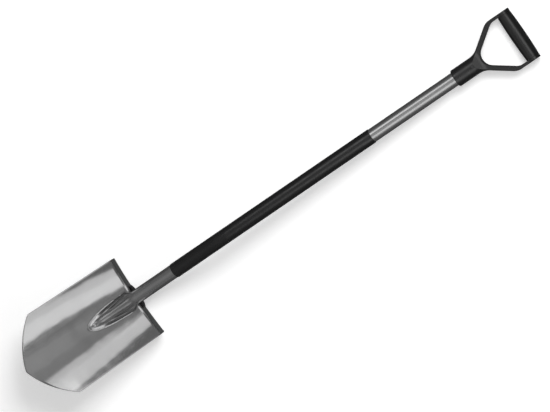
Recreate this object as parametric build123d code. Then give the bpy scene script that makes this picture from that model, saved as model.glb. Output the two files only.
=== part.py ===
from build123d import *
from math import asin, atan2, cos, degrees, radians, sin, tan
import os

# Blade, measured in its own plane: X across, Y from the tip to the treads, Z out of the front face
blade_length = 284.5        # tip to the outer face of the treads
blade_shoulder = 66.0       # tip to the two lower corners
blade_width = 192.0         # across the lower corners
blade_top_width = 183.5     # across the treads
blade_sheet = 2.0           # thickness of the steel sheet
point_bulge = 8.7           # how far each cutting edge bows out from a straight line
tip_round = 9.0
corner_round = 3.0
dish_radius_top = 168.0     # transverse radius of the front face at the treads
dish_radius_tip = 232.0     # transverse radius at the tip
tread_radius = 13.0         # outside radius of the rolled tread
tread_lip = 1.5             # straight edge of the tread, below its roll

# Shaft: a round tube, bent twice
tube_diameter = 30.0
tube_wall = 1.5
tongue_angle = 12.0         # rise of the tongue's ridge from the blade
neck_angle = 22.0           # bend where the shaft leaves the blade
crank_angle = 17.0          # bend back, inside the sleeve
neck_radius = 72.0
crank_radius = 250.0
lower_run = 220.0           # corner of the neck bend to corner of the crank bend
upper_run = 608.4           # corner of the crank bend to the rim of the handle socket
neck_gap = 0.6              # between the back of the tube and the top edge of the blade

# Tongue: the tube's lower end, pressed on the blade
tongue_reach = 125.0        # treads to the nose of the tongue
tongue_width = 43.2
tongue_crown = 12.5         # treads to the widest place of the tongue
ridge_foot_set = 3.0        # nose of the tongue to where the line of its ridge leaves the face
ridge_nose_radius = 6.0
ridge_nose_gap = 4.8        # rim of the plug weld to the end of the ridge

# Welds
bead_width = 3.0
bead_step = 0.6             # how far the bead's top lies below the face of the tongue
bead_round = 1.3
bead_gap = 0.3              # between the bead and the blade
bead_stop = 17.0            # the bead ends this far short of the tread's roll
plug_diameter = 6.4
plug_set = 12.5             # nose of the tongue to the plug weld
plug_crown = 0.9            # how far the plug weld stands above the face of the tongue
plug_round = 0.8
heel_weld_span = 64.0
heel_weld_radius = 5.4      # under the tube
heel_weld_set = 2.6         # its axis lies this far inside the front face and the outer face of the treads
heel_weld_wrap = 2.0        # how far the weld climbs the tube's sides

# Sleeve
sleeve_wall = 1.0
sleeve_gap = 0.05           # between the sleeve and the tube
sleeve_start = 111.4        # corner of the neck bend to the sleeve's lower end
sleeve_round = 0.8
bare_upper_tube = 209.8     # sleeve's upper end to the rim of the handle socket

# D-handle, measured from the rim of its socket along the upper shaft
socket_wall = 4.1
socket_gap = 0.1            # between the socket and the tube
socket_depth = 57.0
tube_end_gap = 1.0          # between the tube's end and the bottom of the socket
socket_rim_chamfer = 1.4
crotch_wall = 11.4          # bottom of the socket to the bottom of the hand opening
crotch_radius = 24.7
hand_room = 89.8            # bottom of the hand opening to the axis of the grip
arm_angle = 35.8            # between each arm and the shaft
arm_thickness = 10.4
arm_depth = 22.0
edge_round_share = 0.25     # rounding of the arms' edges, as a share of the eyes' thickness
waist_lead = 7.0            # the socket begins to flatten this far before its bottom
waist_length = 18.0         # from there to where it is as flat as the arms
waist_radius = 30.0
shoulder_radius = 38.0      # between the socket and the arms, outside
elbow_radius = 27.0         # between the arms and the eyes, outside
elbow_inner_radius = 22.0
opening_width = 106.3
eye_thickness = 7.1
grip_diameter = 29.8        # at the ends of the grip
grip_swell = 2.8            # how much thicker the grip is at its middle
cover_wall = 3.8
cover_gap = 0.05            # between the grip cover and the pieces that it touches

# Rivet through the socket and the tube
rivet_set = 12.2            # bottom of the socket to the rivet
rivet_shank = 5.0
rivet_head = 8.4
rivet_head_height = 1.7
rivet_gap = 0.1             # between the rivet and its hole
rivet_seat = 0.9            # depth of the flat seat in the round socket

# Working room for the solids that trim the pieces, and how near counts as the same place
spare = 10.0
tall = 90.0
near = 1e-3

tube_radius = tube_diameter / 2
bore_radius = tube_radius - tube_wall
socket_bore_radius = tube_radius + socket_gap
socket_radius = socket_bore_radius + socket_wall
roll_start = blade_length - tread_radius
nose_y = blade_length - tongue_reach
tread_drop = tread_radius + tread_lip
tongue_plate = 2 * tube_wall
bead_height = tongue_plate - bead_step
ridge_nose_set = plug_set + plug_diameter / 2 + ridge_nose_gap
rivet_reach = socket_depth - rivet_set
crotch_reach = socket_depth + crotch_wall
grip_reach = crotch_reach + hand_room
waist_start = socket_depth - waist_lead
waist_end = waist_start + waist_length
half_handle = opening_width / 2 + eye_thickness
arm_edge_round = edge_round_share * eye_thickness
core_radius = grip_diameter / 2 - cover_wall


def heading(angle):
    """Direction in the blade's middle plane, at an angle above the blade."""
    return Vector(0, cos(radians(angle)), sin(radians(angle)))


def out_of(angle):
    """Direction square to a heading, towards the front."""
    return Vector(0, -sin(radians(angle)), cos(radians(angle)))


def meet(point, angle, other_point, other_angle):
    """Where two lines in the blade's middle plane cross."""
    along = heading(angle)
    across = out_of(other_angle)
    travel = (other_point - point).dot(across) / along.dot(across)
    return point + along * travel


# Corners of the shaft's middle line
lower_angle = tongue_angle + neck_angle
upper_angle = lower_angle - crank_angle
ridge_foot = Vector(0, nose_y + ridge_foot_set, tongue_plate)
tongue_line = ridge_foot - out_of(tongue_angle) * tube_radius
lower_line = Vector(0, blade_length, 0) + out_of(lower_angle) * (tube_radius + neck_gap)
neck_corner = meet(tongue_line, tongue_angle, lower_line, lower_angle)
crank_corner = neck_corner + heading(lower_angle) * lower_run
socket_rim = crank_corner + heading(upper_angle) * upper_run
tube_end = socket_rim + heading(upper_angle) * (socket_depth - tube_end_gap)
neck_tangent = neck_radius * tan(radians(neck_angle / 2))
tongue_root = neck_corner - heading(tongue_angle) * (neck_tangent + tube_wall)
sleeve_low = neck_corner + heading(lower_angle) * sleeve_start
sleeve_high = socket_rim - heading(upper_angle) * bare_upper_tube
handle_plane = Plane(socket_rim, x_dir=(1, 0, 0), z_dir=out_of(upper_angle))


def dish_radius(y):
    return dish_radius_top + (dish_radius_tip - dish_radius_top) * (roll_start - y) / roll_start


def dish_half_angle(y):
    return degrees(asin((blade_width / 2 + spare) / dish_radius(y)))


def dish_section(y, top, bottom):
    """Slice of the dish between two heights above its front face."""
    radius = dish_radius(y)
    half = dish_half_angle(y)
    upper = CenterArc((0, radius), radius - top, 270 - half, 2 * half)
    lower = CenterArc((0, radius), radius - bottom, 270 - half, 2 * half)
    ends = [Line(upper @ 0, lower @ 0), Line(upper @ 1, lower @ 1)]
    plane = Plane((0, y, 0), x_dir=(1, 0, 0), z_dir=(0, -1, 0))
    return plane * make_face([upper, lower] + ends)


def dish_block(top, bottom):
    """Solid between two heights above the front face, from below the tip to the tread's roll."""
    return loft([dish_section(-spare, top, bottom), dish_section(roll_start, top, bottom)], ruled=True)


def behind_front(height):
    """All that lies behind a height above the front face, carried on past the treads."""
    past = extrude(dish_section(roll_start, height, -tall), amount=tall, dir=(0, 1, 0))
    return dish_block(height, -tall) + past


def blade_outline():
    corner = Vector(blade_width / 2, blade_shoulder)
    middle = corner * 0.5 + Vector(corner.Y, -corner.X).normalized() * point_bulge
    top = blade_length + spare
    top_half = blade_top_width / 2
    right = ThreePointArc((0, 0), (middle.X, middle.Y), (corner.X, corner.Y))
    left = ThreePointArc((0, 0), (-middle.X, middle.Y), (-corner.X, corner.Y))
    side = (blade_width / 2 - top_half) / (blade_length - blade_shoulder)
    over = top_half - side * spare
    frame = Polyline((corner.X, corner.Y), (over, top), (-over, top), (-corner.X, corner.Y))
    outline = make_face([right, left, frame])
    low = outline.vertices().sort_by(Axis.Y)
    outline = fillet(low[0], tip_round)
    corners = [v for v in outline.vertices() if abs(v.Y - corner.Y) < near]
    return fillet(corners, corner_round)


def along_dish(profile):
    """A side view, carried across the blade about the dish's own axis."""
    half = dish_half_angle(roll_start)
    axis = Axis((0, 0, dish_radius_top), (0, 1, 0))
    return revolve((Plane.YZ * profile).rotate(axis, -half), axis, 2 * half)


def tread_core():
    """The rolled tread without its hollow."""
    roll = CenterArc((roll_start, -tread_radius), tread_radius, 0, 90)
    lip = Polyline(roll @ 0, (blade_length, -tread_drop), (roll_start, -tread_drop), roll @ 1)
    return along_dish(make_face([roll, lip]))


def tread_hollow():
    inside = tread_radius - blade_sheet
    roll = CenterArc((roll_start, -tread_radius), inside, 0, 90)
    floor_y = roll_start - spare
    lip = Polyline(
        roll @ 0,
        (roll_start + inside, -tread_drop - spare),
        (floor_y, -tread_drop - spare),
        (floor_y, -blade_sheet),
        roll @ 1,
    )
    return along_dish(make_face([roll, lip]))


def blade():
    """Dished sheet with its top edge rolled to the rear."""
    sheet = dish_block(0, -blade_sheet) + (tread_core() - tread_hollow())
    return sheet & extrude(blade_outline(), tall, both=True)


def shaft_path(start, end):
    points = [start, neck_corner, crank_corner, end]
    return FilletPolyline(*points, radius=[neck_radius, crank_radius])


def round_run(start, end, radius):
    """Round bar along the shaft's middle line, from the tongue's root."""
    path = shaft_path(start, end)
    section = Plane(start, x_dir=(1, 0, 0), z_dir=path % 0) * Circle(radius)
    return sweep(section, path)


def ridge(inset):
    """Tapering ridge of the tongue, as far inside the surface as inset."""
    small = ridge_nose_radius - inset
    along = (ridge_nose_set - ridge_foot_set) / cos(radians(tongue_angle))
    crest = ridge_foot + heading(tongue_angle) * along
    nose = crest - out_of(tongue_angle) * ridge_nose_radius
    wide_end = Plane(tongue_root, x_dir=(1, 0, 0), z_dir=heading(tongue_angle)) * Circle(tube_radius - inset)
    nose_end = Plane(nose, x_dir=(1, 0, 0), z_dir=heading(tongue_angle)) * Circle(small)
    return loft([nose_end, wide_end], ruled=True) + Pos(nose) * Sphere(small)


def tongue_oval(margin):
    long_half = tongue_reach - tongue_crown + margin
    middle = blade_length - tongue_crown
    return Pos(0, middle) * Ellipse(tongue_width / 2 + margin, long_half)


def plug_bar():
    return Pos(0, nose_y + plug_set) * extrude(Circle(plug_diameter / 2), tall, both=True)


def rivet_bore():
    hole = Pos(0, rivet_reach) * Cylinder(rivet_shank / 2 + rivet_gap, tall)
    return handle_plane * hole


def shaft_tube():
    plate = dish_block(tongue_plate, 0) & extrude(tongue_oval(0), tall, both=True)
    outside = round_run(tongue_root, tube_end, tube_radius) + ridge(0) + plate
    outside -= behind_front(0)
    inside = round_run(tongue_root, tube_end, bore_radius) + ridge(tube_wall)
    inside -= behind_front(tube_wall)
    return outside - inside - plug_bar() - rivet_bore()


def tongue_weld():
    """Bead on the blade, round the edge of the tongue."""
    ring = tongue_oval(bead_width) - tongue_oval(0)
    below = Pos(0, roll_start - bead_stop) * Rectangle(
        tongue_width + tall, tongue_reach + tall, align=(Align.CENTER, Align.MAX)
    )
    bead = dish_block(bead_height, bead_gap) & extrude(ring & below, tall, both=True)
    outer = bead.edges().sort_by(SortBy.LENGTH)[-2:]
    return fillet(outer.sort_by(Axis.Z)[-1], bead_round)


def plug_weld():
    """Round weld that fills a hole in the nose of the tongue and stands a little proud."""
    lump = plug_bar() & dish_block(tongue_plate + plug_crown, 0)
    return fillet(lump.edges().sort_by(Axis.Z)[-1], plug_round)


def heel_weld():
    """Tapering weld that fills the corner between the rolled treads and the back of the tube."""
    half = heel_weld_span / 2
    root = tube_radius
    side = Polyline((-half, 0), (-root, heel_weld_radius), (root, heel_weld_radius), (half, 0), close=True)
    spindle = revolve(make_face(side), Axis.X)
    back = Vector(0, blade_length, 0) + out_of(lower_angle) * heel_weld_wrap
    under_tube = Plane(back, x_dir=(1, 0, 0), z_dir=-out_of(lower_angle)) * extrude(Rectangle(tall, tall), tall)
    lump = Pos(0, blade_length - heel_weld_set, -heel_weld_set) * spindle & under_tube
    return lump - tread_core() - (round_run(tongue_root, tube_end, tube_radius) - behind_front(0))


def shaft_sleeve():
    inner = tube_radius + sleeve_gap
    path = FilletPolyline(sleeve_low, crank_corner, sleeve_high, radius=crank_radius)
    plane = Plane(sleeve_low, x_dir=(1, 0, 0), z_dir=path % 0)
    ring = Circle(inner + sleeve_wall) - Circle(inner)
    sleeve = sweep(plane * ring, path)
    low_rim = sleeve.edges().filter_by(GeomType.CIRCLE).sort_by_distance(sleeve_low)
    return fillet([e for e in low_rim[:2] if e.radius > inner + sleeve_wall / 2], sleeve_round)


def arm_line(u, offset):
    """Half width of the handle at a distance from the rim, on a line offset outwards from the opening."""
    apex = crotch_reach - crotch_radius * (1 / sin(radians(arm_angle)) - 1)
    return (u - apex) * tan(radians(arm_angle)) + offset / cos(radians(arm_angle))


def arm_reach(half_width, offset):
    """Distance from the rim at which such a line reaches a half width."""
    return (half_width - arm_line(0, offset)) / tan(radians(arm_angle))


def handle_body():
    """Bell-shaped outside of the handle, round about the shaft's axis."""
    shoulder = arm_reach(socket_radius, arm_thickness)
    elbow = arm_reach(half_handle, arm_thickness)
    side = FilletPolyline(
        (socket_radius - socket_rim_chamfer, 0),
        (socket_radius, socket_rim_chamfer),
        (socket_radius, shoulder),
        (half_handle, elbow),
        (half_handle, grip_reach),
        radius=[0, shoulder_radius, elbow_radius],
    )
    frame = Polyline(side @ 1, (0, grip_reach), (0, 0), side @ 0)
    return revolve(make_face([side, frame]), Axis.Y)


def handle_side():
    """Side view of the handle: full depth at the socket, flat at the arms."""
    half = arm_depth / 2
    slope = (socket_radius - half) / (waist_end - waist_start)
    outside = socket_radius + spare
    edge = FilletPolyline(
        (-spare, outside),
        (waist_start - spare / slope, outside),
        (waist_end, half),
        (grip_reach + spare, half),
        radius=[0, waist_radius],
    )
    mirrored = mirror(edge, Plane.XZ)
    ends = [Line(edge @ 0, mirrored @ 0), Line(edge @ 1, mirrored @ 1)]
    return extrude(Plane.YZ * make_face([edge, mirrored] + ends), tall, both=True)


def hand_opening():
    half = opening_width / 2
    elbow = arm_reach(half, 0)
    apex = arm_reach(0, 0)
    outline = FilletPolyline(
        (-half, grip_reach),
        (-half, elbow),
        (0, apex),
        (half, elbow),
        (half, grip_reach),
        radius=[0, elbow_inner_radius, crotch_radius, elbow_inner_radius, 0],
        close=True,
    )
    return extrude(make_face(outline), tall, both=True)


def handle_frame():
    """Socket outside and the two arms, with rounded edges."""
    body = handle_body() & handle_side()
    outer = [e for e in body.edges() if abs(abs(e.center().Z) - arm_depth / 2) < near]
    body = fillet([e for e in outer if abs(e.center().X) > tube_radius], arm_edge_round)
    opening = hand_opening()
    frame = body - opening
    rim = new_edges(body, opening, combined=frame).filter_by(Axis.Z, reverse=True)
    return fillet([e for e in rim if e.center().Y < grip_reach - near], arm_edge_round)


def crossbar(radius, start, end):
    """Round bar along the grip's axis, between two places across the handle."""
    plane = Plane((start, grip_reach, 0), x_dir=(0, 1, 0), z_dir=(1, 0, 0))
    return extrude(plane * Circle(radius), end - start)


def d_handle():
    inner = opening_width / 2
    eye = grip_diameter / 2
    body = handle_frame()
    body += crossbar(eye, inner, half_handle) + crossbar(eye, -half_handle, -inner)
    body += crossbar(core_radius, -inner, inner)
    mouth = Plane((0, -spare, 0), x_dir=(1, 0, 0), z_dir=(0, 1, 0))
    body -= extrude(mouth * Circle(socket_bore_radius), socket_depth + spare)
    body -= Pos(0, rivet_reach) * Cylinder(rivet_shank / 2 + rivet_gap, tall)
    for way in (1, -1):
        seat = extrude(Circle(rivet_head / 2 + rivet_gap), way * spare)
        body -= Pos(0, rivet_reach, way * (socket_radius - rivet_seat)) * seat
    return handle_plane * body


def grip_cover():
    """Slightly barrelled cover round the core of the crossbar."""
    half = opening_width / 2 - cover_gap
    inner = core_radius + cover_gap
    end = grip_diameter / 2
    crown = ThreePointArc((-half, end), (0, end + grip_swell / 2), (half, end))
    frame = Polyline((half, end), (half, inner), (-half, inner), (-half, end))
    cover = revolve(make_face([crown, frame]), Axis.X)
    return handle_plane * (Pos(0, grip_reach) * cover)


def handle_rivet():
    """Rivet with two low domed heads, each on a flat seat of the socket."""
    seat = socket_radius - rivet_seat
    head = rivet_head / 2
    shank = rivet_shank / 2
    dome = (head**2 + rivet_head_height**2) / (2 * rivet_head_height)
    spread = degrees(asin(head / dome))
    middle = seat + rivet_head_height - dome
    high = CenterArc((0, middle), dome, 90 - spread, spread)
    low = CenterArc((0, -middle), dome, 270, spread)
    side = Polyline(low @ 1, (shank, -seat), (shank, seat), high @ 0)
    profile = make_face([low, side, high, Line(high @ 1, low @ 0)])
    rivet = Rot(X=90) * revolve(profile, Axis.Y)
    return handle_plane * (Pos(0, rivet_reach) * rivet)


def rest_angle():
    """Tilt at which the spade lies on its treads and its grip, with the front face up."""
    heel = Vector(0, blade_length, -tread_drop)
    grip = socket_rim + heading(upper_angle) * grip_reach
    reach = grip - heel
    grip_radius = (grip_diameter + grip_swell) / 2
    return degrees(atan2(reach.Z, reach.Y) - asin(grip_radius / reach.length))


pieces = {
    "blade": blade(),
    "shaft_tube": shaft_tube(),
    "tongue_weld": tongue_weld(),
    "plug_weld": plug_weld(),
    "heel_weld": heel_weld(),
    "shaft_sleeve": shaft_sleeve(),
    "d_handle": d_handle(),
    "grip_cover": grip_cover(),
    "handle_rivet": handle_rivet(),
}

# Lay the spade on the floor and centre it over the origin
lying = Rot(X=-rest_angle())
box = Compound([lying * piece for piece in pieces.values()]).bounding_box()
floor = Pos(-box.center().X, -box.center().Y, -box.min.Z)

os.makedirs("parts", exist_ok=True)
for name, piece in pieces.items():
    export_step(floor * lying * piece, f"parts/{name}.step")

print("size", box.size)
clip_seat = floor * lying * Pos(sleeve_high)
print("rest angle", rest_angle(), "sleeve end", clip_seat.position)
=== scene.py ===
import bmesh
import bpy
from math import asin, cos, pi, radians, sin, sqrt, tan, tanh
from mathutils import Matrix, Vector


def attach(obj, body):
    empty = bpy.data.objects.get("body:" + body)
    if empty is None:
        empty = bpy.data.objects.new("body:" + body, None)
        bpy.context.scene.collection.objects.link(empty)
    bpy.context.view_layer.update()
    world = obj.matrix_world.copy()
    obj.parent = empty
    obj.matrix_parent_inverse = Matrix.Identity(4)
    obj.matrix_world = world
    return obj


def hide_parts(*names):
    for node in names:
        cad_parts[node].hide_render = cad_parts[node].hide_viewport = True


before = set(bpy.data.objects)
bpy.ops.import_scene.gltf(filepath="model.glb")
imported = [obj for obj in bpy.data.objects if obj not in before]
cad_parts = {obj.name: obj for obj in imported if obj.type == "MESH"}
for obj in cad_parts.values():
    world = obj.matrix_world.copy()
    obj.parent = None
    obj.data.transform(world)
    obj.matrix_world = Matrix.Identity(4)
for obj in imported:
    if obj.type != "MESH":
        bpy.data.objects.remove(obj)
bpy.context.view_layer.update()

scene = bpy.context.scene
scene.view_settings.view_transform = "Standard"

restAngle = 21.454211           # tilt of the blade, as the spade lies on its treads and its grip
upperAngle = 17                 # of the upper shaft against the blade


def workPlace(start, angle):
    return Matrix.Translation(start) @ Matrix.Rotation(radians(angle), 4, "X") @ Matrix.Scale(0.001, 4)


# Two working frames in millimetres: the blade lying flat, from its tip, and the handle, from its socket's rim
bladePlace = workPlace((0, -0.626696, 0.117553), -restAngle)
handlePlace = workPlace((0, 0.4529774, 0.0285862), upperAngle - restAngle)


def ease(value, low, high):
    t = min(max((value - low) / (high - low), 0), 1)
    return t * t * (3 - 2 * t)


def heading(angle):
    return Vector((0, cos(radians(angle)), sin(radians(angle))))


def outOf(angle):
    return Vector((0, -sin(radians(angle)), cos(radians(angle))))


def turnTo(right, up, back):
    return Matrix((right, up, back)).transposed().to_4x4()


def keepPiece(bm, name, node, place, material, sharp=35):
    bmesh.ops.transform(bm, matrix=place, verts=bm.verts)
    mesh = bpy.data.meshes.new(name)
    bm.to_mesh(mesh)
    bm.free()
    mesh.materials.append(material)
    mesh.polygons.foreach_set("use_smooth", [True] * len(mesh.polygons))
    mesh.set_sharp_from_angle(angle=radians(sharp))
    piece = bpy.data.objects.new(name, mesh)
    scene.collection.objects.link(piece)
    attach(piece, "root")
    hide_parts(node)
    print("piece", name, len(mesh.polygons), "faces")


def splitGeom(geom):
    verts = [g for g in geom if isinstance(g, bmesh.types.BMVert)]
    edges = [g for g in geom if isinstance(g, bmesh.types.BMEdge)]
    return verts, edges


# A ring of vertices is drawn out from station to station, and setVert gives each one its place
def sweptRings(bm, lanes, stations, setVert):
    laneOf = bm.verts.layers.int.new("lane")
    verts = bmesh.ops.create_circle(bm, segments=lanes, radius=1)["verts"]
    for lane, v in enumerate(verts):
        v[laneOf] = lane
    edges = list(bm.edges)
    first = list(edges)
    for k, station in enumerate(stations):
        if k:
            verts, edges = splitGeom(bmesh.ops.extrude_edge_only(bm, edges=edges)["geom"])
        for v in verts:
            setVert(v, v[laneOf], station)
    return first, edges


# Half a profile is spun about its axis
def turnedPiece(profile, axis, lanes, place):
    bm = bmesh.new()
    verts = [bm.verts.new(p) for p in profile]
    edges = [bm.edges.new(pair) for pair in zip(verts, verts[1:])]
    bmesh.ops.spin(bm, geom=verts + edges, cent=(0, 0, 0), axis=axis, angle=2 * pi, steps=lanes, use_merge=True)
    bmesh.ops.remove_doubles(bm, verts=bm.verts, dist=0.001)
    bmesh.ops.recalc_face_normals(bm, faces=bm.faces)
    bmesh.ops.transform(bm, matrix=Matrix.Translation(place), verts=bm.verts)
    return bm


# Materials

def startMaterial(name, finish):
    material = bpy.data.materials.new(name)
    material.use_nodes = True
    tree = material.node_tree
    shader = tree.nodes["Principled BSDF"]
    shader.inputs["Base Color"].default_value = (*finish["color"], 1)
    shader.inputs["Metallic"].default_value = finish.get("metallic", 0)
    shader.inputs["Roughness"].default_value = finish["roughness"]
    shader.inputs["IOR"].default_value = 1.5
    shader.inputs["Specular IOR Level"].default_value = finish.get("gloss", 0.5)
    material.diffuse_color = (*finish["color"], 1)
    place = tree.nodes.new("ShaderNodeTexCoord")
    turn = tree.nodes.new("ShaderNodeMapping")
    turn.inputs["Rotation"].default_value = (radians(finish.get("turn", 0)), 0, 0)
    tree.links.new(place.outputs["Object"], turn.inputs["Vector"])
    return material, tree, shader, turn.outputs["Vector"]


def stretched(tree, source, scale):
    mapping = tree.nodes.new("ShaderNodeMapping")
    mapping.inputs["Scale"].default_value = scale
    tree.links.new(source, mapping.inputs["Vector"])
    return mapping.outputs["Vector"]


def noiseOf(tree, source, scale, detail, rough):
    noise = tree.nodes.new("ShaderNodeTexNoise")
    noise.inputs["Scale"].default_value = scale
    noise.inputs["Detail"].default_value = detail
    noise.inputs["Roughness"].default_value = rough
    tree.links.new(source, noise.inputs["Vector"])
    return noise.outputs["Fac"]


def spread(tree, source, low, high, fromLow=0.3, fromHigh=0.7):
    ranged = tree.nodes.new("ShaderNodeMapRange")
    ranged.inputs["From Min"].default_value = fromLow
    ranged.inputs["From Max"].default_value = fromHigh
    ranged.inputs["To Min"].default_value = low
    ranged.inputs["To Max"].default_value = high
    tree.links.new(source, ranged.inputs["Value"])
    return ranged.outputs["Result"]


def joined(tree, operation, *sources):
    node = tree.nodes.new("ShaderNodeMath")
    node.operation = operation
    for source, socket in zip(sources, node.inputs):
        tree.links.new(source, socket)
    return node.outputs["Value"]


def shade(color, share):
    return (*(c * share for c in color), 1)


def mixed(tree, factor, second):
    mix = tree.nodes.new("ShaderNodeMix")
    mix.data_type = "RGBA"
    mix.inputs["B"].default_value = second
    tree.links.new(factor, mix.inputs["Factor"])
    return mix


# Roughness follows one pattern and the colour another, as far as the finish says
def paintOver(tree, shader, finish, roughBy, toneBy):
    smoother, rougher = finish["roughSpread"]
    rough = spread(tree, roughBy, finish["roughness"] + smoother, finish["roughness"] + rougher)
    tree.links.new(rough, shader.inputs["Roughness"])
    dark, light = finish["tones"]
    mix = mixed(tree, spread(tree, toneBy, 0, 1), shade(finish["color"], light))
    mix.inputs["A"].default_value = shade(finish["color"], dark)
    tree.links.new(mix.outputs["Result"], shader.inputs["Base Color"])
    return mix.outputs["Result"]


# Painted shade: the colour darkens where the mesh's own attribute says
def paintShadeBy(tree, shader, attribute, color, shadeColor):
    mark = tree.nodes.new("ShaderNodeAttribute")
    mark.attribute_name = attribute
    mix = mixed(tree, mark.outputs["Fac"], shadeColor)
    tree.links.new(color, mix.inputs["A"])
    tree.links.new(mix.outputs["Result"], shader.inputs["Base Color"])


def roughen(tree, shader, height, strength, distance):
    bump = tree.nodes.new("ShaderNodeBump")
    bump.inputs["Strength"].default_value = strength
    bump.inputs["Distance"].default_value = distance
    tree.links.new(height, bump.inputs["Height"])
    tree.links.new(bump.outputs["Normal"], shader.inputs["Normal"])
    return bump


bladeFinish = {
    "color": (0.57, 0.57, 0.572),
    "metallic": 1.0,
    "roughness": 0.125,
    "roughSpread": (-0.03, 0.05),
    "tones": (0.95, 1.03),          # darkest and lightest share of the colour
    "turn": restAngle,
    "brushScale": (900, 7, 900),    # fine lines along the blade
    "brushDepth": 0.05,
    "brushHeight": 0.0002,
    "cloudScale": 9,
    "edgeShadeTone": 0.45,                # share of the colour left by the painted shade along the cutting edge
    "rippleScale": 24,              # slight ripples of the pressed sheet
    "rippleHeight": 0.0006,
}


def bladeSteel():
    f = bladeFinish
    material, tree, shader, turn = startMaterial("bladeSteel", f)
    lines = noiseOf(tree, stretched(tree, turn, f["brushScale"]), 1, detail=3, rough=0.6)
    cloud = noiseOf(tree, turn, f["cloudScale"], detail=4, rough=0.6)
    color = paintOver(tree, shader, f, lines, cloud)
    # painted shade: a dark strip along the cutting edge
    paintShadeBy(tree, shader, "rim", color, shade(f["color"], f["edgeShadeTone"]))
    brush = roughen(tree, shader, lines, f["brushDepth"], f["brushHeight"])
    ripple = noiseOf(tree, turn, f["rippleScale"], detail=1, rough=0.4)
    roughen(tree, brush, ripple, 1, f["rippleHeight"])
    return material


shaftFinish = {
    "color": (0.545, 0.545, 0.547),
    "metallic": 1.0,
    "roughness": 0.22,
    "roughSpread": (-0.04, 0.05),
    "tones": (0.93, 1.05),
    "cloudScale": (40, 6, 40),
    "grain": 700,
    "grainDepth": 0.05,
    "grainHeight": 0.0003,
    "paintedShadeShare": 0.25,           # share of the colour that is left where the painted shade is strongest
}


def shaftSteel():
    f = shaftFinish
    material, tree, shader, turn = startMaterial("shaftSteel", f)
    grain = noiseOf(tree, turn, f["grain"], detail=3, rough=0.6)
    cloud = noiseOf(tree, stretched(tree, turn, f["cloudScale"]), 1, detail=4, rough=0.6)
    color = paintOver(tree, shader, f, cloud, cloud)
    # painted shade on the tongue's valleys, ridge and plug ring
    paintShadeBy(tree, shader, "paintedShade", color, shade(f["color"], f["paintedShadeShare"]))
    roughen(tree, shader, grain, f["grainDepth"], f["grainHeight"])
    return material


weldFinish = {
    "color": (0.62, 0.62, 0.622),
    "metallic": 1.0,
    "roughness": 0.16,
    "roughSpread": (-0.06, 0.12),
    "tones": (0.8, 1.12),
    "pits": 900,
    "pitDepth": 0.2,
    "pitHeight": 0.0004,
}

heelShadeFinish = {
    **weldFinish,
    "color": (0.07, 0.07, 0.072),       # painted shade: the weld behind the treads is coloured near black for the shade that falls there
    "roughness": 0.3,
}


def weldSteel(name, finish):
    material, tree, shader, turn = startMaterial(name, finish)
    pits = noiseOf(tree, turn, finish["pits"], detail=4, rough=0.65)
    paintOver(tree, shader, finish, pits, pits)
    roughen(tree, shader, pits, finish["pitDepth"], finish["pitHeight"])
    return material


blackFinish = {             # what the black pieces share
    "roughSpread": (-0.05, 0.08),
    "tones": (0.85, 1.25),
    "scuff": 45,
    "grainHeight": 0.0002,
}

sleeveFinish = {
    **blackFinish,
    "color": (0.002, 0.002, 0.0022),
    "roughness": 0.25,
    "gloss": 0.9,
    "grain": 1400,
    "grainDepth": 0.06,
}

handleFinish = {
    **blackFinish,
    "color": (0.003, 0.003, 0.0032),
    "roughness": 0.28,
    "gloss": 1.0,
    "grain": 1100,
    "grainDepth": 0.14,
}

gripFinish = {
    **blackFinish,
    "color": (0.002, 0.002, 0.002),
    "roughness": 0.29,
    "gloss": 1.0,
    "grain": 1600,
    "grainDepth": 0.12,
}

rivetFinish = {
    **blackFinish,
    "color": (0.03, 0.03, 0.031),
    "roughness": 0.38,
    "grain": 1200,
    "grainDepth": 0.1,
}


def blackCoat(name, finish):
    material, tree, shader, turn = startMaterial(name, finish)
    grain = noiseOf(tree, turn, finish["grain"], detail=2, rough=0.5)
    scuff = noiseOf(tree, turn, finish["scuff"], detail=5, rough=0.65)
    paintOver(tree, shader, finish, scuff, scuff)
    roughen(tree, shader, grain, finish["grainDepth"], finish["grainHeight"])
    return material


steelOfBlade = bladeSteel()
steelOfShaft = shaftSteel()
steelOfWelds = weldSteel("weldSteel", weldFinish)
# painted shade: the near-black weld behind the treads
shadeOfHeel = weldSteel("heelShadeSteel", heelShadeFinish)
plasticOfSleeve = blackCoat("sleevePlastic", sleeveFinish)
plasticOfHandle = blackCoat("handlePlastic", handleFinish)
plasticOfGrip = blackCoat("gripPlastic", gripFinish)
coatOfRivet = blackCoat("rivetCoat", rivetFinish)
print("materials made")


# Blade: a dished sheet with a bowed point, its top edge rolled to the rear

bladeSet = {
    "length": 284.5,
    "shoulder": 66.0,           # tip to the lower corners
    "half": 96.0,
    "topHalf": 91.75,
    "bow": 8.7,                 # of each cutting edge
    "tipRound": 9.0,
    "cornerBevel": 1.8,
    "dishTop": 168.0,
    "dishTip": 232.0,
    "dishEnd": 271.5,
    "bendStart": 244.0,         # the sheet begins to lean back here
    "bends": (                  # where each bend ends, its lean there, rows
        (268.5, 5, 8),
        (276.0, 25, 8),
        (284.3, 80, 12),
    ),
    "sheet": 2.0,
    "edgeSheet": 0.7,           # thickness at the cutting edge
    "edgeReach": 7.0,
    "edgeEnd": 68.0,            # the sheet is even past this
    "edgeBevel": 0.3,
    "bevelFrom": 50,            # degrees between faces
    "edgeShadeReach": 2.5,            # width of the painted dark strip along the cutting edge
    "wave": 0.09,               # unevenness of the pressed sheet
    "waves": ((15, 37, 0.7), (23, -29, 0), (61, 19, 2)),        # across, along, and the start of each
    "calmAcross": (24, 44),     # none under the tongue
    "calmAlong": (120, 160),
    "calmTread": (230, 262),    # nor on the treads
    "across": 96,
    "rows": 46,                 # from the cutting edge to the first bend
}


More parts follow.
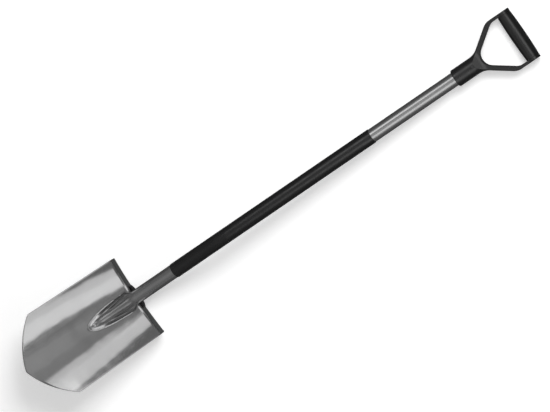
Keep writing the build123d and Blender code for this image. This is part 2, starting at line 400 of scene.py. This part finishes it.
def dishRadius(y):
    s = bladeSet
    return s["dishTop"] + (s["dishTip"] - s["dishTop"]) * max(s["dishEnd"] - y, 0) / s["dishEnd"]


def dishHeight(x, y):
    r = dishRadius(y)
    return r - sqrt(r * r - x * x)


def cuttingEdge(x):
    s = bladeSet
    chord = sqrt(s["half"] ** 2 + s["shoulder"] ** 2)
    radius = (chord ** 2 / 4 + s["bow"] ** 2) / (2 * s["bow"])
    middleX = s["half"] / 2 - s["shoulder"] / chord * (radius - s["bow"])
    middleY = s["shoulder"] / 2 + s["half"] / chord * (radius - s["bow"])
    lean = asin(-middleX / radius)
    if abs(x) < s["tipRound"] * sin(lean):
        return s["tipRound"] / cos(lean) - sqrt(s["tipRound"] ** 2 - x * x)
    return middleY - sqrt(radius ** 2 - (abs(x) - middleX) ** 2)


def behindEdge(place):          # how far a place lies behind the cutting edge
    half = bladeSet["half"]
    return place.y - cuttingEdge(min(max(place.x, -half), half))


def treadProfile(row):          # y, and how far the sheet has dropped behind its face
    y, lean, drop = bladeSet["bendStart"], 0, 0
    for end, endLean, rows in bladeSet["bends"]:
        radius = (end - y) / (sin(radians(endLean)) - sin(lean))
        turn = lean + (radians(endLean) - lean) * min(row / rows, 1)
        if row <= rows:
            return y + radius * (sin(turn) - sin(lean)), drop + radius * (cos(lean) - cos(turn))
        drop += radius * (cos(lean) - cos(turn))
        y, lean, row = end, turn, row - rows
    return y, drop


def bladePoint(across, row):
    s = bladeSet
    drop = 0
    if row <= s["rows"]:
        low = cuttingEdge(across * s["half"])
        y = low + (s["bendStart"] - low) * row / s["rows"]
    else:
        y, drop = treadProfile(row - s["rows"])
    taper = max(y - s["shoulder"], 0) / (s["length"] - s["shoulder"])
    x = across * (s["half"] + (s["topHalf"] - s["half"]) * taper)
    radius = dishRadius(y)
    wave = s["wave"] * sum(sin(x / wide + y / long + start) for wide, long, start in s["waves"])
    wave *= 1 - (1 - ease(abs(x), *s["calmAcross"])) * ease(y, *s["calmAlong"])
    wave *= 1 - ease(y, *s["calmTread"])
    return Vector((x, y, radius - sqrt((radius + drop) ** 2 - x * x) + wave))


def buildBlade():
    s = bladeSet
    rows = s["rows"] + sum(bend[2] for bend in s["bends"])
    bm = bmesh.new()
    rim = bm.verts.layers.float.new("rim")
    bmesh.ops.create_grid(bm, x_segments=s["across"], y_segments=rows, size=1)
    for v in bm.verts:
        v.co = bladePoint(v.co.x, (v.co.y + 1) / 2 * rows)
    bm.normal_update()
    corner = Vector((s["half"], s["shoulder"]))
    corners = [v for v in bm.verts if (Vector((abs(v.co.x), v.co.y)) - corner).length < 0.01]
    bmesh.ops.bevel(bm, geom=corners, affect="VERTICES", offset=s["cornerBevel"],
                    segments=4, profile=0.5, material=-1)
    back = bmesh.ops.extrude_face_region(bm, geom=list(bm.faces), use_keep_orig=True)["geom"]
    backVerts = splitGeom(back)[0]
    bm.normal_update()
    shift = {}
    for v in backVerts:
        fade = ease(behindEdge(v.co), 0, s["edgeReach"]) if v.co.y < s["edgeEnd"] else 1
        thick = s["edgeSheet"] + (s["sheet"] - s["edgeSheet"]) * fade
        outward = v.normal.z > 0 or v.co.y > s["dishEnd"]
        shift[v] = v.normal * (-thick if outward else thick)
    for v in backVerts:
        v.co += shift[v]
    bmesh.ops.recalc_face_normals(bm, faces=bm.faces)
    # painted shade: the colour darkens in a strip along the cutting edge
    for v in bm.verts:
        v[rim] = 1 - ease(behindEdge(v.co), 0, s["edgeShadeReach"])
    bent = radians(s["bevelFrom"])
    edges = [e for e in bm.edges if len(e.link_faces) == 2 and e.calc_face_angle() > bent]
    bmesh.ops.bevel(bm, geom=edges, affect="EDGES", offset=s["edgeBevel"], segments=2, profile=0.5, material=-1)
    keepPiece(bm, "bladeSheet", "blade", bladePlace, steelOfBlade)


buildBlade()

# Shaft: one tube, its lower end pressed into a ridged tongue that lies on the blade

shaftSet = {
    "radius": 15.0,
    "wall": 1.5,
    "root": (258.0429, 7.9732),     # y and z where the tongue ends and the round tube begins
    "tongueAngle": 12.0,
    "neckAngle": 22.0,
    "crankAngle": 17.0,
    "neckRadius": 72.0,
    "neckRound": 14,                # degrees of the neck bend, past which the tube is round
    "crankRadius": 250.0,
    "lowerRun": 220.0,
    "upperRun": 664.4,              # to the tube's end inside the handle
    "endDepth": 30.0,               # how deep the open end is hollow
    "lanes": 144,
    "neckRows": 16,
    "rows": (6, 12, 20),            # of the lower run, the crank bend and the upper run
}

tongueSet = {
    "nose": 159.5,
    "root": 259.9,                  # the round tube begins here
    "crown": 272.0,                 # the widest place, past the root
    "half": 21.6,
    "noseHalf": 0.25,
    "rim": 2.2,                     # height of the rim above the blade
    "lift": 0.03,                   # the underside clears the blade by this
    "foot": (162.5, 3.0),           # y and z where the line of the ridge leaves the face
    "roof": 0.3,                    # slope of the flattened nose to both sides
    "roofSoft": 2.5,
    "skirt": 50.0,                  # slope of the face beside the ridge, at its rim
    "skirtWide": 5.5,
    "skirtFrom": 180.0,
    "skirtTo": 214.0,
    "ridgeStart": 166.0,            # from here to the root the ridge widens
    "ridgeNose": 7.0,               # its radius at the start
    "ridgeRise": 150.0,             # between these it comes up to its full height
    "ridgeFull": 190.0,
    "flank": 72.0,
    "blend": 3.6,
    "stations": 64,
    "noseGap": 0.08,                # the first station stands behind the nose by this share of a step
}

plugSet = {
    "radius": 3.2,
    "y": 172.0,
    "base": 0.05,
    "face": 4.9,
    "rings": (                      # share of the radius, and height from the face
        (1, -0.3),
        (0.97, 0.25),
        (0.86, 0.5),
        (0.74, 0.52),
        (0.62, 0.72),
        (0.45, 0.84),
        (0.22, 0.9),
        (0, 0.9),
    ),
    "shadeFade": (4.0, 5.8),             # the painted shade round it fades between these distances
    "lanes": 32,
}

# Painted shade on the tongue: where its colour darkens beside and on the ridge, in the valley at its foot and
# round the plug
paintedShadeSet = {
    "flank": 0.59,                  # how strong the painted shade is beside the ridge,
    "flankAlong": (186.0, 206.0),
    "flankAcross": (7.0, 11.0),
    "valley": 1.0,                  # in the valley at the foot of the ridge,
    "valleyAlong": (205.0, 222.0),
    "valleyAcross": (13.0, 16.5),
    "ridge": 0.46,                  # on the ridge
    "ridgeAlong": (190.0, 245.0),
    "ridgeBend": (0.0, 16.0),
    "plug": 0.55,                   # and round the plug
    "neckBend": (9.0, 21.8),        # it is gone at the end of the neck bend
}


def paintedShadeAt(place, station):
    s = paintedShadeSet
    y, bend = station
    wide = abs(place.x)
    valley = ease(y, *s["valleyAlong"]) * (1 - ease(wide, *s["valleyAcross"]))
    flank = s["flank"] + (s["valley"] - s["flank"]) * valley
    flank *= ease(y, *s["flankAlong"]) * ease(wide, *s["flankAcross"])
    ridge = s["ridge"] * ease(y, *s["ridgeAlong"]) * (1 - ease(bend, *s["ridgeBend"]))
    fromPlug = sqrt(place.x ** 2 + (place.y - plugSet["y"]) ** 2)
    ring = s["plug"] * (1 - ease(fromPlug, *plugSet["shadeFade"]))
    return max(flank, ridge, ring) * (1 - ease(bend, *s["neckBend"]))


def smoothMax(a, b, k):
    h = max(k - abs(a - b), 0) / k
    return max(a, b) + h * h * k / 4


def tongueHalf(y):
    t = tongueSet
    share = min((t["crown"] - y) / (t["crown"] - t["nose"]), 1)
    return max(t["half"] * sqrt(max(1 - share * share, 0)), t["noseHalf"])


def tongueFace(x, y):           # the pressed face under the ridge, above the flat blade
    t = tongueSet
    half = tongueHalf(y)
    soft = t["roofSoft"]
    roof = t["roof"] * (sqrt(half * half + soft * soft) - sqrt(x * x + soft * soft))
    skirt = tan(radians(t["skirt"])) * t["skirtWide"] * tanh((half - abs(x)) / t["skirtWide"])
    rise = roof + (skirt - roof) * ease(y, t["skirtFrom"], t["skirtTo"])
    return t["rim"] + dishHeight(x, y) + rise


def tongueTop(x, y, axisZ):
    t, s = tongueSet, shaftSet
    slope = cos(radians(s["tongueAngle"]))
    face = (tongueFace(x, y) - axisZ) / slope
    middle = (tongueFace(0, y) - axisZ) / slope - t["blend"]
    crest = middle + (s["radius"] - middle) * ease(y, t["ridgeRise"], t["ridgeFull"])
    grow = min(max((y - t["ridgeStart"]) / (t["root"] - t["ridgeStart"]), 0), 1)
    r = t["ridgeNose"] + (s["radius"] - t["ridgeNose"]) * grow
    side = r * sin(radians(t["flank"]))
    if abs(x) <= side:
        bell = crest - r + sqrt(r * r - x * x)
    else:
        bell = crest - r + r * cos(radians(t["flank"])) - (abs(x) - side) * tan(radians(t["flank"]))
    return smoothMax(bell, face, t["blend"])


def shaftPoint(lane, station):
    t, s = tongueSet, shaftSet
    turn = 2 * pi * lane / s["lanes"]
    root = Vector((0, *s["root"]))
    y, bend = station
    angle = s["tongueAngle"] + bend
    if bend == 0:
        slope = radians(angle)
        travel = (y - s["root"][0] - (s["root"][1] - t["foot"][1]) * tan(slope)) * cos(slope)
        axis = root + heading(angle) * travel
        x = tongueHalf(y) * cos(turn)
        top = tongueTop(x, y, axis.z)
    else:
        corner = root + heading(s["tongueAngle"]) * s["wall"] + outOf(s["tongueAngle"]) * s["neckRadius"]
        axis = corner - outOf(angle) * s["neckRadius"]
        rounding = ease(bend, 0, s["neckRound"])
        rootX = tongueHalf(t["root"]) * cos(turn)
        x = rootX + (s["radius"] * cos(turn) - rootX) * rounding
        rootTop = tongueTop(rootX, t["root"], s["root"][1])
        top = rootTop + (s["radius"] * sin(turn) - rootTop) * rounding
    bed = dishHeight(x, min(axis.y, bladeSet["dishEnd"])) + t["lift"]
    under = (bed - axis.z) / cos(radians(angle))
    if bend:
        under += (-sqrt(max(s["radius"] ** 2 - x * x, 0)) - under) * rounding
    if lane == 0 or lane * 2 == s["lanes"]:
        n = (top + under) / 2 if bend == 0 else top
    else:
        n = top if lane * 2 < s["lanes"] else under
    return axis + Vector((x, 0, 0)) + outOf(angle) * n


def extendRing(bm, edges, way):
    verts, edges = splitGeom(bmesh.ops.extrude_edge_only(bm, edges=edges)["geom"])
    bmesh.ops.translate(bm, verts=verts, vec=way)
    return verts, edges


def straightRun(bm, edges, angle, length, rows):
    for _ in range(rows):
        verts, edges = extendRing(bm, edges, heading(angle) * (length / rows))
    return verts, edges


def shaftLine():                # its two corners, how far the neck bend reaches, and the angles of both runs
    s = shaftSet
    lower = s["tongueAngle"] + s["neckAngle"]
    upper = lower - s["crankAngle"]
    neckReach = s["neckRadius"] * tan(radians(s["neckAngle"] / 2))
    neck = Vector((0, *s["root"])) + heading(s["tongueAngle"]) * (neckReach + s["wall"])
    return neck, neck + heading(lower) * s["lowerRun"], neckReach, lower, upper


# Both lengths run to the corner of the crank bend, and the bend takes its share of each
def crankedRun(bm, edges, lowerLength, upperLength, rows):
    s = shaftSet
    _, crank, _, lower, upper = shaftLine()
    lowerRows, bendRows, upperRows = rows
    reach = s["crankRadius"] * tan(radians(s["crankAngle"] / 2))
    verts, edges = straightRun(bm, edges, lower, lowerLength - reach, lowerRows)
    middle = crank - heading(lower) * reach - outOf(lower) * s["crankRadius"]
    bent = bmesh.ops.spin(bm, geom=verts + edges, cent=middle, axis=(1, 0, 0), angle=radians(-s["crankAngle"]),
                          steps=bendRows, use_duplicate=False)
    verts, edges = splitGeom(bent["geom_last"])
    return straightRun(bm, edges, upper, upperLength - reach, upperRows)[1]


def shaftStations():            # y on the tongue, then degrees round the neck bend
    t, s = tongueSet, shaftSet
    last, gap = t["stations"], t["noseGap"]
    stations = []
    for k in range(last + 1):
        turn = pi / 2 * (k + gap) / (last + gap)
        stations.append((t["root"] - (t["root"] - t["nose"]) * cos(turn), 0))
    for k in range(1, s["neckRows"] + 1):
        stations.append((t["root"], s["neckAngle"] * k / s["neckRows"]))
    return stations


def buildShaft():
    s = shaftSet
    bm = bmesh.new()
    # painted shade: how much the colour darkens at each vertex
    paintedShade = bm.verts.layers.float.new("paintedShade")

    def setVert(v, lane, station):
        v.co = shaftPoint(lane, station)
        v[paintedShade] = paintedShadeAt(v.co, station)

    nose, edges = sweptRings(bm, s["lanes"], shaftStations(), setVert)
    _, _, neckReach, _, upper = shaftLine()
    edges = crankedRun(bm, edges, s["lowerRun"] - neckReach, s["upperRun"], s["rows"])
    bmesh.ops.contextual_create(bm, geom=nose)
    cap = bmesh.ops.contextual_create(bm, geom=edges)["faces"]
    bmesh.ops.recalc_face_normals(bm, faces=bm.faces)
    bmesh.ops.inset_region(bm, faces=cap, thickness=s["wall"])
    inner = bmesh.ops.extrude_face_region(bm, geom=cap)["geom"]
    bmesh.ops.delete(bm, geom=[f for f in cap if f.is_valid], context="FACES_ONLY")
    bmesh.ops.translate(bm, verts=splitGeom(inner)[0], vec=heading(upper) * -s["endDepth"])
    keepPiece(bm, "shaftTube", "shaft_tube", bladePlace, steelOfShaft, sharp=50)


buildShaft()

# Bead: overlapping ripples of weld round the edge of the tongue

beadSet = {
    "profile": (                # out from the tongue's edge, and up
        (-0.7, 0.0),
        (-0.7, 1.6),
        (-0.5, 2.1),
        (0.0, 2.2),
        (1.1, 1.85),
        (2.1, 1.42),
        (2.9, 1.0),
        (3.4, 0.65),
        (3.7, 0.35),
        (3.9, 0.1),
        (3.7, 0.0),
        (1.5, 0.0),
    ),
    "lift": 0.3,                # its foot above the blade's curve
    "run": 210.0,               # length along the tongue's edge
    "pitch": 2.3,               # from ripple to ripple
    "ripple": 0.07,
    "waver": ((0.05, 0.37, 0), (0.04, 0.91, 1)),        # strength, rate and start of slow swells
    "end": 254.5,
    "endSteps": 4,              # both ends taper over so many stations
    "endSize": 0.03,            # square of the share that is left at the very end
    "thin": 0.62,               # width at the upper ends, as a share of the nose's
    "thinAlong": (195, 235),
    "heightKept": 0.35,         # share of the height that doesn't thin with the width
    "break": 0.75,              # on one side the bead runs out by this share
    "breakIn": (233, 239),
    "breakOut": (247, 250),     # and ends in a tack
    "flat": 0.3,                # flatter round the nose, by this share of the way
    "flatTo": 2.2,              # to this height
    "flatReach": 3.5,
    "flatAlong": (168, 184),
    "stations": 420,
}


def beadPoint(lane, k):
    b, t = beadSet, tongueSet
    long = t["crown"] - t["nose"]
    sweep = asin((b["end"] - t["crown"]) / long)
    turn = sweep + (-pi - 2 * sweep) * k / b["stations"]
    edge = Vector((t["half"] * cos(turn), t["crown"] + long * sin(turn), 0))
    side = Vector((cos(turn) * long, sin(turn) * t["half"], 0)).normalized()
    travel = abs(k / b["stations"] - 0.5) * b["run"]
    beat = travel / b["pitch"]
    wave = 1 - b["ripple"] * (beat - int(beat)) ** 2 * 2
    wave *= sum((strength * sin(travel * rate + start) for strength, rate, start in b["waver"]), 1)
    size = 1 - (1 - b["thin"]) * ease(edge.y, *b["thinAlong"])
    if edge.x < 0:
        size *= 1 - b["break"] * ease(edge.y, *b["breakIn"]) * (1 - ease(edge.y, *b["breakOut"]))
    fromEnd = min(k, b["stations"] - k)
    size *= min(1, sqrt(fromEnd / b["endSteps"] + b["endSize"]))
    out, up = b["profile"][lane]
    if 0 < out < b["flatReach"]:
        up += (b["flatTo"] - up) * b["flat"] * (1 - ease(edge.y, *b["flatAlong"]))
    place = edge + side * (out * size * wave)
    height = b["heightKept"] + (1 - b["heightKept"]) * size
    place.z = dishHeight(place.x, place.y) + b["lift"] + up * height * wave
    return place


def buildBead():
    b = beadSet
    bm = bmesh.new()

    def setVert(v, lane, k):
        v.co = beadPoint(lane, k)

    for end in sweptRings(bm, len(b["profile"]), range(b["stations"] + 1), setVert):
        bmesh.ops.contextual_create(bm, geom=end)
    bmesh.ops.recalc_face_normals(bm, faces=bm.faces)
    keepPiece(bm, "tongueBead", "tongue_weld", bladePlace, steelOfWelds, sharp=60)


buildBead()

# Plug weld: a low dome in the nose of the tongue


def buildPlug():
    p = plugSet
    profile = [(0, 0, p["base"]), (p["radius"], 0, p["base"])]
    profile += [(p["radius"] * share, 0, p["face"] + rise) for share, rise in p["rings"]]
    bm = turnedPiece(profile, (0, 0, 1), p["lanes"], (0, p["y"], 0))
    keepPiece(bm, "plugWeld", "plug_weld", bladePlace, steelOfWelds)


buildPlug()

# Heel weld: a bar of weld under the tube, bent to the curve of the treads

heelSet = {
    "half": 27.5,
    "radius": 5.4,
    "set": 2.6,                 # its line lies this far inside the faces of the treads
    "pitch": 2.7,               # from ripple to ripple
    "ripple": 0.035,
    "rings": 120,
    "lanes": 40,
}


def buildHeel():
    h = heelSet
    profile = []
    for k in range(h["rings"] + 1):
        turn = pi * k / h["rings"]
        x = -h["half"] * cos(turn)
        beat = (x + h["half"]) / h["pitch"]
        swell = 1 - h["ripple"] * (2 * (beat - int(beat)) - 1) ** 2
        profile.append((x, 0, h["radius"] * sin(turn) * swell))
    bm = turnedPiece(profile, (1, 0, 0), h["lanes"], (0, bladeSet["length"] - h["set"], -h["set"]))
    for v in bm.verts:
        v.co.z += dishHeight(v.co.x, bladeSet["dishEnd"])
    keepPiece(bm, "heelWeld", "heel_weld", bladePlace, shadeOfHeel, sharp=60)


buildHeel()

# Sleeve: a thin black tube over the middle of the shaft

sleeveSet = {
    "inner": 15.05,
    "outer": 16.05,
    "start": 111.4,             # from the corner of the neck bend
    "end": 398.6,               # from the corner of the crank bend
    "round": 0.45,
    "lanes": 80,
    "rows": (1, 14, 12),        # before, round and past the crank bend
}


def sleeveWall(bm, radius):
    v = sleeveSet
    neck, _, _, lower, _ = shaftLine()
    turn = turnTo(Vector((1, 0, 0)), outOf(lower), heading(lower))
    place = Matrix.Translation(neck + heading(lower) * v["start"]) @ turn
    verts = bmesh.ops.create_circle(bm, segments=v["lanes"], radius=radius, matrix=place)["verts"]
    first = list(dict.fromkeys(e for p in verts for e in p.link_edges))
    return first, crankedRun(bm, first, shaftSet["lowerRun"] - v["start"], v["end"], v["rows"])


def buildSleeve():
    v = sleeveSet
    bm = bmesh.new()
    outLow, outHigh = sleeveWall(bm, v["outer"])
    inLow, inHigh = sleeveWall(bm, v["inner"])
    bmesh.ops.bridge_loops(bm, edges=outLow + inLow)
    bmesh.ops.bridge_loops(bm, edges=outHigh + inHigh)
    bmesh.ops.recalc_face_normals(bm, faces=bm.faces)
    rims = [e for e in outLow + outHigh if e.is_valid]
    bmesh.ops.bevel(bm, geom=rims, affect="EDGES", offset=v["round"], segments=3, profile=0.5, material=-1)
    keepPiece(bm, "shaftSleeve", "shaft_sleeve", bladePlace, plasticOfSleeve, sharp=40)


buildSleeve()

# Grip cover: a slightly barrelled black tube round the crossbar

gripSet = {
    "reach": 158.2,             # from the rim of the socket
    "half": 53.1,
    "end": 14.9,
    "swell": 1.4,
    "bore": 11.15,
    "round": 1.2,
    "roundRows": 3,
    "rows": 24,
    "lanes": 64,
}


def buildGrip():
    g = gripSet
    profile = [(-g["half"], 0, g["bore"]), (-g["half"], 0, g["end"] - g["round"])]
    for k in range(1, g["roundRows"] + 1):
        a = pi / 2 * k / g["roundRows"]
        profile.append((-g["half"] + g["round"] * (1 - cos(a)), 0, g["end"] - g["round"] * (1 - sin(a))))
    firstEnd = list(profile)
    for k in range(1, g["rows"]):
        x = (g["half"] - g["round"]) * (2 * k / g["rows"] - 1)
        profile.append((x, 0, g["end"] + g["swell"] * (1 - (x / g["half"]) ** 2)))
    profile += [(-x, y, z) for x, y, z in reversed(firstEnd)]
    profile.append(profile[0])
    bm = turnedPiece(profile, (1, 0, 0), g["lanes"], (0, g["reach"], 0))
    keepPiece(bm, "gripCover", "grip_cover", handlePlace, plasticOfGrip)


buildGrip()

# Rivet: two low domed heads and the shank between them

rivetSet = {
    "reach": 44.8,              # from the rim of the socket
    "seat": 18.3,
    "shank": 2.5,
    "head": 4.2,
    "height": 1.7,
    "brim": 0.12,               # share of the height that its edge keeps
    "rows": 7,
    "lanes": 32,
}


def buildRivet():
    r = rivetSet
    half = [(0, 0, r["seat"] + r["height"])]
    for k in range(1, r["rows"] + 1):
        a = pi / 2 * k / r["rows"]
        dome = r["brim"] + (1 - r["brim"]) * cos(a)
        half.append((r["head"] * sin(a), 0, r["seat"] + r["height"] * dome))
    half += [(r["head"], 0, r["seat"]), (r["shank"], 0, r["seat"])]
    profile = half + [(x, y, -z) for x, y, z in reversed(half)]
    bm = turnedPiece(profile, (0, 0, 1), r["lanes"], (0, r["reach"], 0))
    keepPiece(bm, "handleRivet", "handle_rivet", handlePlace, coatOfRivet)


buildRivet()

# The handle keeps its solid and takes a finish
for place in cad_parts["d_handle"].material_slots:
    place.material = plasticOfHandle
print("finish on the kept solid")

cameraSet = {
    "tilt": 13.454,         # degrees from straight down, towards the handle
    "roll": 34.355,         # degrees of the shaft above the picture's lower edge
    "along": 0.6178,        # from the blade's tip to the picture's middle
    "across": 0.0068,
    "width": 1.1319,        # metres across the picture
    "nearer": 0.09,         # the picture's plane, above the tip
    "lens": 1000.0,
    "sensor": 36.0,
    "clip": 100.0,
}


def cameraAxes():
    tilt = radians(cameraSet["tilt"])
    return Vector((1, 0, 0)), Vector((0, cos(tilt), -sin(tilt))), Vector((0, sin(tilt), cos(tilt)))


def addCamera():
    c = cameraSet
    across, along, back = cameraAxes()
    roll = radians(c["roll"])
    right = along * cos(roll) + across * sin(roll)
    up = along * sin(roll) - across * cos(roll)
    tip = bladePlace @ Vector((0, 0, 0))
    target = tip + along * c["along"] + across * c["across"] + back * c["nearer"]
    data = bpy.data.cameras.new("camera")
    data.lens = c["lens"]
    data.sensor_width = c["sensor"]
    data.clip_end = c["clip"]
    camera = bpy.data.objects.new("camera", data)
    away = c["width"] * c["lens"] / c["sensor"]
    camera.matrix_world = Matrix.Translation(target + back * away) @ turnTo(right, up, back)
    scene.collection.objects.link(camera)
    scene.camera = camera


addCamera()
print("camera set")

# Light: soft boxes beside, over and past the spade, and a fill that gloss doesn't show
# Side and end are degrees from the camera's line, across the shaft and along it

lightMiddle = Vector((0, 0, 0.05))
lightSet = {
    "leftBox": {"side": -38, "end": 12.5, "away": 2.3, "size": (0.75, 1.0), "radiance": 0.68},
    "leftShaft": {"side": -38, "end": -12.7, "away": 2.3, "size": (0.75, 0.62), "radiance": 1.06},
    "leftSpill": {"side": -24.5, "end": 0.9, "away": 2.35, "size": (0.35, 0.27), "radiance": 0.6},
    "leftSpillFar": {"side": -27, "end": 14, "away": 2.35, "size": (0.35, 0.75), "radiance": 0.22},
    "leftSpillShaft": {"side": -26, "end": -10.7, "away": 2.35, "size": (0.35, 0.6), "radiance": 0.55},
    "leftWing": {"side": -50.5, "end": -11, "away": 2.3, "size": (0.4, 0.35), "radiance": 0.52},
    "overWide": {"side": 0, "end": 0.6, "away": 2.45, "size": (1.5, 0.45), "radiance": 0.045},
    "overBox": {"side": 3, "end": 0.6, "away": 2.4, "size": (0.75, 0.45), "radiance": 0.085},
    "overShaft": {"side": 0, "end": -10.4, "away": 2.45, "size": (0.95, 0.48), "radiance": 0.26},
    "rightBox": {"side": 34.5, "end": 3, "away": 2.3, "size": (0.7, 1.62), "radiance": 0.86},
    "rightWing": {"side": 49.3, "end": 5, "away": 2.3, "size": (0.5, 1.0), "radiance": 0.67},
    "rightSpillShaft": {"side": 21, "end": -10.7, "away": 2.35, "size": (0.42, 0.6), "radiance": 0.8},
    "endBox": {"side": 0, "end": 33.3, "away": 1.82, "size": (1.6, 0.8), "radiance": 0.9},
    "fill": {"side": -20, "end": 23, "away": 6.0, "size": (2.6, 2.6), "radiance": 10.4, "hidden": True},
}


def addLight(name):
    s = lightSet[name]
    across, along, back = cameraAxes()
    way = (back + across * tan(radians(s["side"])) + along * tan(radians(s["end"]))).normalized()
    data = bpy.data.lights.new(name, "AREA")
    data.shape = "RECTANGLE"
    data.size, data.size_y = s["size"]
    data.energy = s["radiance"] * pi * s["size"][0] * s["size"][1]
    lamp = bpy.data.objects.new(name, data)
    side = along.cross(way).normalized()
    lamp.matrix_world = Matrix.Translation(lightMiddle + way * s["away"]) @ turnTo(side, way.cross(side), way)
    lamp.visible_camera = False
    lamp.visible_glossy = not s.get("hidden", False)
    scene.collection.objects.link(lamp)


for name in lightSet:
    addLight(name)

worldSet = {
    "above": 0.255,         # soft grey that the metal shows from overhead
    "sides": 0.7,           # share of it that is left towards the sides
    "sidesFade": (0.2, 0.6),
    "past": 0.5,            # and far past the handle
    "pastFade": (0.53, 0.66),
    "white": 0.1,           # the white of the horizon ends at this height
}


def seenRays(tree):
    rays = tree.nodes.new("ShaderNodeLightPath")
    seen = joined(tree, "MAXIMUM", rays.outputs["Is Camera Ray"], rays.outputs["Is Glossy Ray"])
    return joined(tree, "MAXIMUM", seen, rays.outputs["Is Transmission Ray"])


def addWorld():
    w = worldSet
    world = bpy.data.worlds.new("world")
    scene.world = world
    world.use_nodes = True
    tree = world.node_tree
    place = tree.nodes.new("ShaderNodeTexCoord")
    parts = tree.nodes.new("ShaderNodeSeparateXYZ")
    tree.links.new(place.outputs["Generated"], parts.inputs["Vector"])
    rise = spread(tree, parts.outputs["Z"], 1, 0, 0, w["white"])
    horizon = joined(tree, "MULTIPLY", seenRays(tree), rise)
    wide = joined(tree, "ABSOLUTE", parts.outputs["X"])
    fade = spread(tree, wide, w["above"], w["above"] * w["sides"], *w["sidesFade"])
    past = spread(tree, parts.outputs["Y"], 1, w["past"], *w["pastFade"])
    level = joined(tree, "MAXIMUM", horizon, joined(tree, "MULTIPLY", fade, past))
    rays = tree.nodes.new("ShaderNodeLightPath")
    plain = joined(tree, "MAXIMUM", level, rays.outputs["Is Camera Ray"])       # white where it is looked at
    sky = tree.nodes["Background"]
    sky.inputs["Color"].default_value = (1, 1, 1, 1)
    tree.links.new(plain, sky.inputs["Strength"])


addWorld()


def stageObject(bm, name, materialName):
    mesh = bpy.data.meshes.new(name)
    bm.to_mesh(mesh)
    bm.free()
    thing = bpy.data.objects.new(name, mesh)
    scene.collection.objects.link(thing)
    material = bpy.data.materials.new(materialName)
    material.use_nodes = True
    mesh.materials.append(material)
    tree = material.node_tree
    tree.nodes.remove(tree.nodes["Principled BSDF"])
    return thing, tree, tree.nodes["Material Output"].inputs["Surface"]


floorSet = {
    "half": 20.0,
    "color": 0.88,
    "glow": 0.4,            # lifts the floor to white, only where it is looked at
}


def addFloor():
    bm = bmesh.new()
    bmesh.ops.create_grid(bm, x_segments=1, y_segments=1, size=floorSet["half"])
    floor, tree, surface = stageObject(bm, "floor", "paleFloor")
    paint = tree.nodes.new("ShaderNodeBsdfDiffuse")
    paint.inputs["Color"].default_value = (floorSet["color"],) * 3 + (1,)
    glow = tree.nodes.new("ShaderNodeEmission")
    lift = joined(tree, "MULTIPLY", seenRays(tree))
    lift.node.inputs[1].default_value = floorSet["glow"]
    tree.links.new(lift, glow.inputs["Strength"])
    both = tree.nodes.new("ShaderNodeAddShader")
    tree.links.new(paint.outputs["BSDF"], both.inputs[0])
    tree.links.new(glow.outputs["Emission"], both.inputs[1])
    tree.links.new(both.outputs["Shader"], surface)


addFloor()

traySet = {
    "half": 1.5,            # across the shaft
    "start": -1.6,
    "heel": -0.395,         # a little before the line of the treads
    "to": 1.5,
    "notch": 0.105,         # half width left open under the blade, so that its back shows the pale floor
    "lift": 0.0005,         # above the floor
    "height": 0.26,
    "tone": 0.1,
}


def addTray():          # dark cards round the shaft, met only by gloss: they give round metal its dark edges
    t = traySet
    bm = bmesh.new()
    bmesh.ops.create_grid(bm, x_segments=3, y_segments=2, size=1, matrix=Matrix.Translation((0, 0, t["lift"])))
    rows = (t["start"], t["heel"], t["to"])
    for v in bm.verts:
        wide = t["half"] if abs(v.co.x) > 0.5 else t["notch"]
        v.co.x = wide if v.co.x > 0 else -wide
        v.co.y = rows[round(v.co.y) + 1]
    middles = {f: f.calc_center_median() for f in bm.faces}
    underBlade = [f for f, m in middles.items() if abs(m.x) < t["notch"] and m.y < t["heel"]]
    bmesh.ops.delete(bm, geom=underBlade, context="FACES")
    sides = [e for e in bm.edges if all(abs(v.co.x) > t["half"] - 0.01 for v in e.verts)]
    walls = sides + [e for e in bm.edges if all(v.co.y > t["to"] - 0.01 for v in e.verts)]
    extendRing(bm, walls, Vector((0, 0, t["height"])))
    tray, tree, surface = stageObject(bm, "darkTray", "darkCard")
    glow = tree.nodes.new("ShaderNodeEmission")
    glow.inputs["Strength"].default_value = t["tone"]
    tree.links.new(glow.outputs["Emission"], surface)
    tray.visible_camera = False
    tray.visible_diffuse = False
    tray.visible_transmission = False
    tray.visible_shadow = False


addTray()
print("floor and light set")
